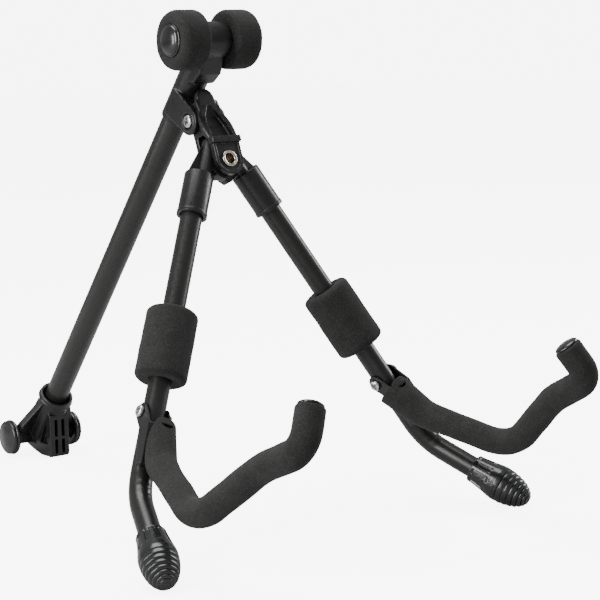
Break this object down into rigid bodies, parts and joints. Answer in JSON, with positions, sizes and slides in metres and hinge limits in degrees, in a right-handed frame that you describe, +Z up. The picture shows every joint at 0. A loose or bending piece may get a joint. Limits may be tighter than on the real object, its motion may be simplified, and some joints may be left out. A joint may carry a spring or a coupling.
{
  "type": "guitar rack",
  "caption": "Folding A-frame floor rack for one guitar: foam-covered cradle arms on two splayed front legs, a rear leg with padded rollers at the head.",
  "frame": {"origin": "on the floor at the middle of the footprint", "axes": "+Z up, -Y forward to the cradle arms, +Y back to the rear foot, +X to the right when seen from behind the rack"},
  "size_m": [0.3398, 0.5596, 0.3733],
  "materials": {
    "coated_steel": "satin black powder coat",
    "plastic": "satin moulded black",
    "gloss": "polished black",
    "foam": "closed-cell foam, matte charcoal",
    "rubber": "smooth black rubber",
    "zinc": "bright zinc plate",
    "nickel": "nickel plate"
  },
  "bodies": {
    "rear_leg": {"head_block": "plastic", "top_axle": "coated_steel", "roller_foam_left": "foam", "roller_foam_right": "foam", "roller_cap_left": "gloss", "roller_cap_right": "gloss", "hinge_screw": "zinc", "hinge_nut": "zinc", "rear_leg_tube": "coated_steel", "rear_foot": "plastic", "rear_pad_left": "rubber", "rear_pad_right": "rubber"},
    "yoke": {"yoke": "plastic", "leg_rivet": "nickel"},
    "left_leg": {"leg_socket_left": "plastic", "leg_tube_left": "coated_steel", "leg_foam_left": "foam", "rubber_foot_left": "rubber"},
    "left_cradle": {"cradle_bracket_left": "plastic", "cradle_screw_left": "zinc", "cradle_nut_left": "zinc", "cradle_arm_left": "coated_steel", "arm_foam_left": "foam", "arm_cap_left": "gloss"},
    "right_leg": {"leg_socket_right": "plastic", "leg_tube_right": "coated_steel", "leg_foam_right": "foam", "rubber_foot_right": "rubber"},
    "right_cradle": {"cradle_bracket_right": "plastic", "cradle_screw_right": "zinc", "cradle_nut_right": "zinc", "cradle_arm_right": "coated_steel", "arm_foam_right": "foam", "arm_cap_right": "gloss"}
  },
  "joints": [
    {"name": "fold", "type": "hinge", "parent": "rear_leg", "child": "yoke", "pos_m": [0, 0.00577, 0.29165], "axis": [1, 0, 0], "range_deg": [0, 58]},
    {"name": "right_splay", "type": "hinge", "parent": "yoke", "child": "right_leg", "pos_m": [0, -0.01433, 0.26027], "axis": [0, 0.942, -0.3356], "range_deg": [0, 24]},
    {"name": "left_splay", "type": "hinge", "parent": "yoke", "child": "left_leg", "pos_m": [0, -0.01433, 0.26027], "axis": [0, -0.942, 0.3356], "range_deg": [0, 24]},
    {"name": "right_cradle_fold", "type": "hinge", "parent": "right_leg", "child": "right_cradle", "pos_m": [0.1052, -0.07359, 0.09393], "axis": [-0.8942, -0.1503, -0.4218], "range_deg": [0, 66]},
    {"name": "left_cradle_fold", "type": "hinge", "parent": "left_leg", "child": "left_cradle", "pos_m": [-0.1052, -0.07359, 0.09393], "axis": [-0.8942, 0.1503, 0.4218], "range_deg": [0, 66]}
  ]
}
